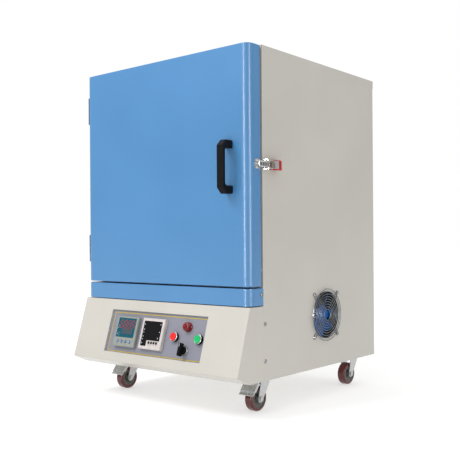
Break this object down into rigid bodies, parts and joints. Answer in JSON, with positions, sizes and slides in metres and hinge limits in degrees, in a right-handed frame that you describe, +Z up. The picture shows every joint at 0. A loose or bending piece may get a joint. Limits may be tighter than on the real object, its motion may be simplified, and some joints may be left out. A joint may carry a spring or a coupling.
{
  "type": "muffle furnace",
  "caption": "Front-loading muffle furnace on castors: side-hung insulated door with a toggle latch, refractory chamber, sloping control console and side cooling fan.",
  "frame": {"origin": "on the floor under the middle of the furnace", "axes": "+Z up, +X to the right seen from the front, -Y towards the door side"},
  "size_m": [0.74, 0.7979, 1.062],
  "materials": {
    "cream_enamel": "fine powder coat",
    "blue_enamel": "fine powder coat",
    "console_enamel": "satin",
    "primed_steel": "primed",
    "bare_sheet": "brushed",
    "plated_steel": "bright plated",
    "chrome_wire": "bright",
    "zinc": "zinc plated",
    "fibre": "matte fibre board",
    "rope": "woven rope",
    "hearth_ceramic": "matte ceramic plate",
    "element_alloy": "oxidised",
    "black_plastic": "satin",
    "white_plastic": "satin",
    "controller_bezel": "satin",
    "dark_window": "glossy",
    "lamp_red": "glossy",
    "red_plastic": "glossy",
    "green_plastic": "glossy",
    "red_grip": "satin",
    "blue_plastic": "satin",
    "wheel_rubber": "satin"
  },
  "bodies": {
    "cabinet": {"base_pan": "cream_enamel", "support_frame": "primed_steel", "side_panel_right": "cream_enamel", "side_panel_left": "cream_enamel", "top_cover": "cream_enamel", "rear_panel": "cream_enamel", "front_frame": "bare_sheet", "lower_front_panel": "blue_enamel", "console_shell": "cream_enamel", "control_plate": "console_enamel", "temperature_controller": "controller_bezel", "overtemperature_controller": "white_plastic", "controller_windows": "dark_window", "indicator_lamp": "lamp_red", "switch_collars": "black_plastic", "inner_casing": "bare_sheet", "backup_insulation": "fibre", "chamber_walls": "fibre", "chamber_slabs": "fibre", "hearth_plate": "hearth_ceramic", "heating_elements": "element_alloy", "thermocouple": "bare_sheet", "power_tray": "bare_sheet", "cable_gland": "black_plastic", "cabinet_hinges": "plated_steel", "door_switch": "black_plastic", "latch_base": "plated_steel", "fan_frame": "black_plastic", "fan_guard": "chrome_wire", "caster_plates": "zinc", "panel_screws": "plated_steel"},
    "door": {"door_skin": "blue_enamel", "door_liner": "bare_sheet", "door_plug": "fibre", "door_seal": "rope", "door_handle": "black_plastic", "door_hinges": "plated_steel", "latch_keeper": "plated_steel"},
    "lever": {"latch_lever": "plated_steel", "latch_grip": "red_grip"},
    "loop": {"latch_loop": "plated_steel"},
    "start_button": {"start_button": "green_plastic"},
    "stop_button": {"stop_button": "red_plastic"},
    "selector": {"selector_knob": "black_plastic"},
    "plunger": {"switch_plunger": "white_plastic"},
    "impeller": {"fan_impeller": "blue_plastic"},
    "key_1": {"controller_key_1": "blue_plastic"},
    "key_2": {"controller_key_2": "blue_plastic"},
    "key_3": {"controller_key_3": "blue_plastic"},
    "key_4": {"controller_key_4": "blue_plastic"},
    "fork_front_left": {"caster_fork_front_left": "zinc"},
    "wheel_front_left": {"caster_wheel_front_left": "wheel_rubber"},
    "fork_front_right": {"caster_fork_front_right": "zinc"},
    "wheel_front_right": {"caster_wheel_front_right": "wheel_rubber"},
    "fork_rear_left": {"caster_fork_rear_left": "zinc"},
    "wheel_rear_left": {"caster_wheel_rear_left": "wheel_rubber"},
    "fork_rear_right": {"caster_fork_rear_right": "zinc"},
    "wheel_rear_right": {"caster_wheel_rear_right": "wheel_rubber"},
    "pedal_front_left": {"brake_pedal_front_left": "zinc"},
    "pedal_front_right": {"brake_pedal_front_right": "zinc"}
  },
  "joints": [
    {"name": "door_swing", "type": "hinge", "parent": "cabinet", "child": "door", "pos_m": [-0.362, -0.277, 0.7135], "axis": [0, 0, -1], "range_deg": [0, 135]},
    {"name": "latch_lever_swing", "type": "hinge", "parent": "cabinet", "child": "lever", "pos_m": [0.362, -0.264, 0.721], "axis": [0, 0, -1], "range_deg": [0, 110]},
    {"name": "latch_loop_swing", "type": "hinge", "parent": "lever", "child": "loop", "pos_m": [0.359, -0.252, 0.721], "axis": [0, 0, 1], "range_deg": [0, 127]},
    {"name": "stop_press", "type": "slide", "parent": "cabinet", "child": "stop_button", "axis": [0, 0.955, -0.2966], "range_m": [0, 0.004], "stiffness_N_per_m": 900, "springref_m": -0.0005},
    {"name": "start_press", "type": "slide", "parent": "cabinet", "child": "start_button", "axis": [0, 0.955, -0.2966], "range_m": [0, 0.004], "stiffness_N_per_m": 900, "springref_m": -0.0005},
    {"name": "selector_turn", "type": "hinge", "parent": "cabinet", "child": "selector", "pos_m": [0.131, -0.37249, 0.18147], "axis": [0, -0.955, 0.2966], "range_deg": [-45, 45]},
    {"name": "door_switch_press", "type": "slide", "parent": "cabinet", "child": "plunger", "axis": [0, 1, 0], "range_m": [0, 0.002], "stiffness_N_per_m": 600, "springref_m": -0.0005},
    {"name": "impeller_spin", "type": "hinge", "parent": "cabinet", "child": "impeller", "pos_m": [0.327, 0.0545, 0.266], "axis": [1, 0, 0], "continuous": true},
    {"name": "key_1_press", "type": "slide", "parent": "cabinet", "child": "key_1", "axis": [0, 0.955, -0.2966], "range_m": [0, 0.001], "stiffness_N_per_m": 900, "springref_m": -0.0005},
    {"name": "key_2_press", "type": "slide", "parent": "cabinet", "child": "key_2", "axis": [0, 0.955, -0.2966], "range_m": [0, 0.001], "stiffness_N_per_m": 900, "springref_m": -0.0005},
    {"name": "key_3_press", "type": "slide", "parent": "cabinet", "child": "key_3", "axis": [0, 0.955, -0.2966], "range_m": [0, 0.001], "stiffness_N_per_m": 900, "springref_m": -0.0005},
    {"name": "key_4_press", "type": "slide", "parent": "cabinet", "child": "key_4", "axis": [0, 0.955, -0.2966], "range_m": [0, 0.001], "stiffness_N_per_m": 900, "springref_m": -0.0005},
    {"name": "swivel_front_left", "type": "hinge", "parent": "cabinet", "child": "fork_front_left", "pos_m": [-0.28, -0.196, 0], "axis": [0, 0, 1], "continuous": true},
    {"name": "roll_front_left", "type": "hinge", "parent": "fork_front_left", "child": "wheel_front_left", "pos_m": [-0.28, -0.224, 0.0375], "axis": [1, 0, 0], "continuous": true},
    {"name": "brake_front_left", "type": "hinge", "parent": "fork_front_left", "child": "pedal_front_left", "pos_m": [-0.28, -0.212, 0.081], "axis": [1, 0, 0], "range_deg": [0, 7]},
    {"name": "swivel_front_right", "type": "hinge", "parent": "cabinet", "child": "fork_front_right", "pos_m": [0.28, -0.196, 0], "axis": [0, 0, 1], "continuous": true},
    {"name": "roll_front_right", "type": "hinge", "parent": "fork_front_right", "child": "wheel_front_right", "pos_m": [0.28, -0.224, 0.0375], "axis": [1, 0, 0], "continuous": true},
    {"name": "brake_front_right", "type": "hinge", "parent": "fork_front_right", "child": "pedal_front_right", "pos_m": [0.28, -0.212, 0.081], "axis": [1, 0, 0], "range_deg": [0, 7]},
    {"name": "swivel_rear_left", "type": "hinge", "parent": "cabinet", "child": "fork_rear_left", "pos_m": [-0.28, 0.322, 0], "axis": [0, 0, 1], "continuous": true},
    {"name": "roll_rear_left", "type": "hinge", "parent": "fork_rear_left", "child": "wheel_rear_left", "pos_m": [-0.28, 0.294, 0.0375], "axis": [1, 0, 0], "continuous": true},
    {"name": "swivel_rear_right", "type": "hinge", "parent": "cabinet", "child": "fork_rear_right", "pos_m": [0.28, 0.322, 0], "axis": [0, 0, 1], "continuous": true},
    {"name": "roll_rear_right", "type": "hinge", "parent": "fork_rear_right", "child": "wheel_rear_right", "pos_m": [0.28, 0.294, 0.0375], "axis": [1, 0, 0], "continuous": true}
  ],
  "couplings": [
    {"joint": "latch_loop_swing", "follows": "latch_lever_swing", "ratio": 1.15}
  ]
}
